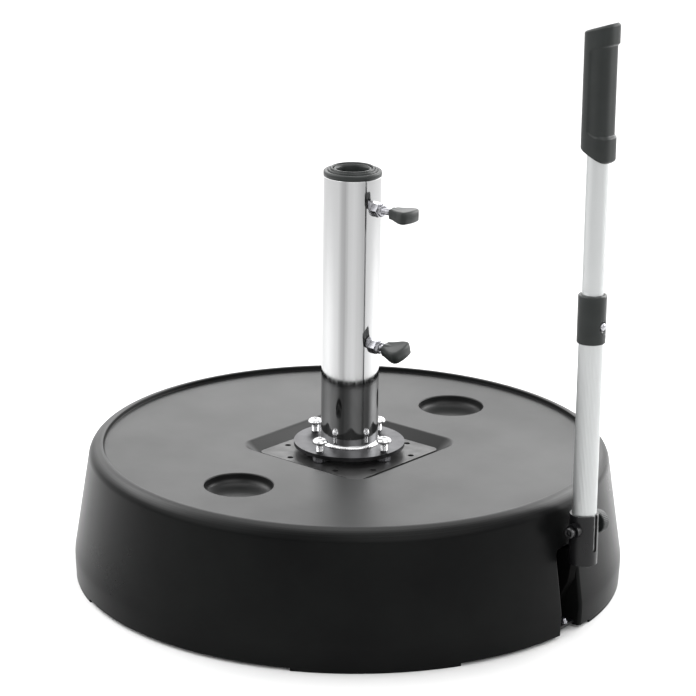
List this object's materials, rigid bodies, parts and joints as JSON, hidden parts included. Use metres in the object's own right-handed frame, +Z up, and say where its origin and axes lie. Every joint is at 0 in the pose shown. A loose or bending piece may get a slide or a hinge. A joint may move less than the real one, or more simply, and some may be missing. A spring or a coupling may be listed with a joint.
{
  "type": "parasol base",
  "caption": "Round ballasted parasol stand with a clamping tube and an upright telescopic lever that lowers hidden casters to roll it.",
  "frame": {"origin": "on the floor, on the axis of the clamping tube, at the middle of the chassis plate's pressed foot", "axes": "+Z up along the tube, +X towards the lifting lever, +Y to complete a right-handed frame"},
  "size_m": [0.5985, 0.576, 0.6229],
  "materials": {
    "housing": "satin",
    "black_steel": "satin",
    "concrete": "matte",
    "stainless": "polished",
    "zinc": "satin",
    "grip_plastic": "satin",
    "aluminium": "satin",
    "wheel": "matte"
  },
  "bodies": {
    "base": {"base_shell": "housing", "chassis_plate": "black_steel", "mounting_plate": "black_steel", "ballast_slab": "concrete", "ballast_left": "concrete", "ballast_right": "concrete", "plate_post_front_left": "black_steel", "plate_post_front_right": "black_steel", "plate_post_rear_left": "black_steel", "plate_post_rear_right": "black_steel", "stand_tube": "stainless", "tube_flange": "stainless", "weld_bead": "stainless", "tube_cap": "grip_plastic", "reducer_sleeve": "grip_plastic", "flange_screw_1": "stainless", "flange_screw_2": "stainless", "flange_screw_3": "stainless", "flange_screw_4": "stainless", "levelling_nut_1": "zinc", "levelling_nut_2": "zinc", "levelling_nut_3": "zinc", "levelling_nut_4": "zinc", "weld_nut_upper": "zinc", "weld_nut_lower": "zinc", "lock_nut_upper": "zinc", "lock_nut_lower": "zinc", "front_bracket_left": "black_steel", "front_bracket_right": "black_steel", "rear_bracket_left": "black_steel", "rear_bracket_right": "black_steel", "slot_screw": "zinc"},
    "lever": {"lever_shaft": "black_steel", "lever_arm": "black_steel", "lever_socket": "black_steel", "clamp_bolt": "zinc", "handle_outer_tube": "aluminium", "telescope_collar": "grip_plastic"},
    "clamp_knob": {"clamp_knob": "grip_plastic"},
    "lock_button": {"lock_button": "zinc"},
    "handle": {"handle_inner_tube": "aluminium", "handle_grip": "grip_plastic"},
    "carrier": {"carrier_frame": "black_steel"},
    "rocker": {"rear_rocker": "black_steel"},
    "swivel_front_right": {"caster_fork_front_right": "zinc"},
    "wheel_front_right": {"caster_wheel_front_right": "wheel"},
    "swivel_front_left": {"caster_fork_front_left": "zinc"},
    "wheel_front_left": {"caster_wheel_front_left": "wheel"},
    "swivel_rear_right": {"caster_fork_rear_right": "zinc"},
    "wheel_rear_right": {"caster_wheel_rear_right": "wheel"},
    "swivel_rear_left": {"caster_fork_rear_left": "zinc"},
    "wheel_rear_left": {"caster_wheel_rear_left": "wheel"},
    "screw_upper": {"screw_shank_upper": "zinc", "wing_knob_upper": "grip_plastic"},
    "screw_lower": {"screw_shank_lower": "zinc", "wing_knob_lower": "grip_plastic"}
  },
  "joints": [
    {"name": "lever_lift", "type": "hinge", "parent": "base", "child": "lever", "pos_m": [0.25, 0, 0.0265], "axis": [0, 1, 0], "range_deg": [0, 56]},
    {"name": "carrier_level", "type": "hinge", "parent": "lever", "child": "carrier", "pos_m": [0.26678, 0, 0.03542], "axis": [0, 1, 0], "range_deg": [-56, 0]},
    {"name": "rocker_swing", "type": "hinge", "parent": "base", "child": "rocker", "pos_m": [-0.2, 0, 0.0265], "axis": [0, 1, 0], "range_deg": [0, 56]},
    {"name": "handle_slide", "type": "slide", "parent": "lever", "child": "handle", "axis": [0, 0, -1], "range_m": [0, 0.12]},
    {"name": "lock_button_press", "type": "slide", "parent": "lever", "child": "lock_button", "axis": [-1, 0, 0], "range_m": [0, 0.0012], "stiffness_N_per_m": 400, "springref_m": -0.002},
    {"name": "clamp_knob_turn", "type": "hinge", "parent": "lever", "child": "clamp_knob", "pos_m": [0.2945, 0.0365, 0.115], "axis": [0, 1, 0], "range_deg": [-180, 540]},
    {"name": "swivel_turn_front_right", "type": "hinge", "parent": "carrier", "child": "swivel_front_right", "pos_m": [0.14, 0.14, 0.0495], "axis": [0, 0, 1], "continuous": true},
    {"name": "wheel_spin_front_right", "type": "hinge", "parent": "swivel_front_right", "child": "wheel_front_right", "pos_m": [0.13, 0.14, 0.0235], "axis": [0, 1, 0], "continuous": true},
    {"name": "swivel_turn_front_left", "type": "hinge", "parent": "carrier", "child": "swivel_front_left", "pos_m": [0.14, -0.14, 0.0495], "axis": [0, 0, 1], "continuous": true},
    {"name": "wheel_spin_front_left", "type": "hinge", "parent": "swivel_front_left", "child": "wheel_front_left", "pos_m": [0.13, -0.14, 0.0235], "axis": [0, 1, 0], "continuous": true},
    {"name": "swivel_turn_rear_right", "type": "hinge", "parent": "carrier", "child": "swivel_rear_right", "pos_m": [-0.14, 0.14, 0.0495], "axis": [0, 0, 1], "continuous": true},
    {"name": "wheel_spin_rear_right", "type": "hinge", "parent": "swivel_rear_right", "child": "wheel_rear_right", "pos_m": [-0.15, 0.14, 0.0235], "axis": [0, 1, 0], "continuous": true},
    {"name": "swivel_turn_rear_left", "type": "hinge", "parent": "carrier", "child": "swivel_rear_left", "pos_m": [-0.14, -0.14, 0.0495], "axis": [0, 0, 1], "continuous": true},
    {"name": "wheel_spin_rear_left", "type": "hinge", "parent": "swivel_rear_left", "child": "wheel_rear_left", "pos_m": [-0.15, -0.14, 0.0235], "axis": [0, 1, 0], "continuous": true},
    {"name": "screw_turn_upper", "type": "hinge", "parent": "base", "child": "screw_upper", "pos_m": [0.0663, 0, 0.3965], "axis": [1, 0, 0], "range_deg": [-1080, 720]},
    {"name": "screw_turn_lower", "type": "hinge", "parent": "base", "child": "screw_lower", "pos_m": [0.0587, 0, 0.2512], "axis": [1, 0, 0], "range_deg": [-720, 1080]}
  ],
  "couplings": [
    {"joint": "carrier_level", "follows": "lever_lift", "ratio": -1},
    {"joint": "rocker_swing", "follows": "lever_lift", "ratio": 1}
  ]
}
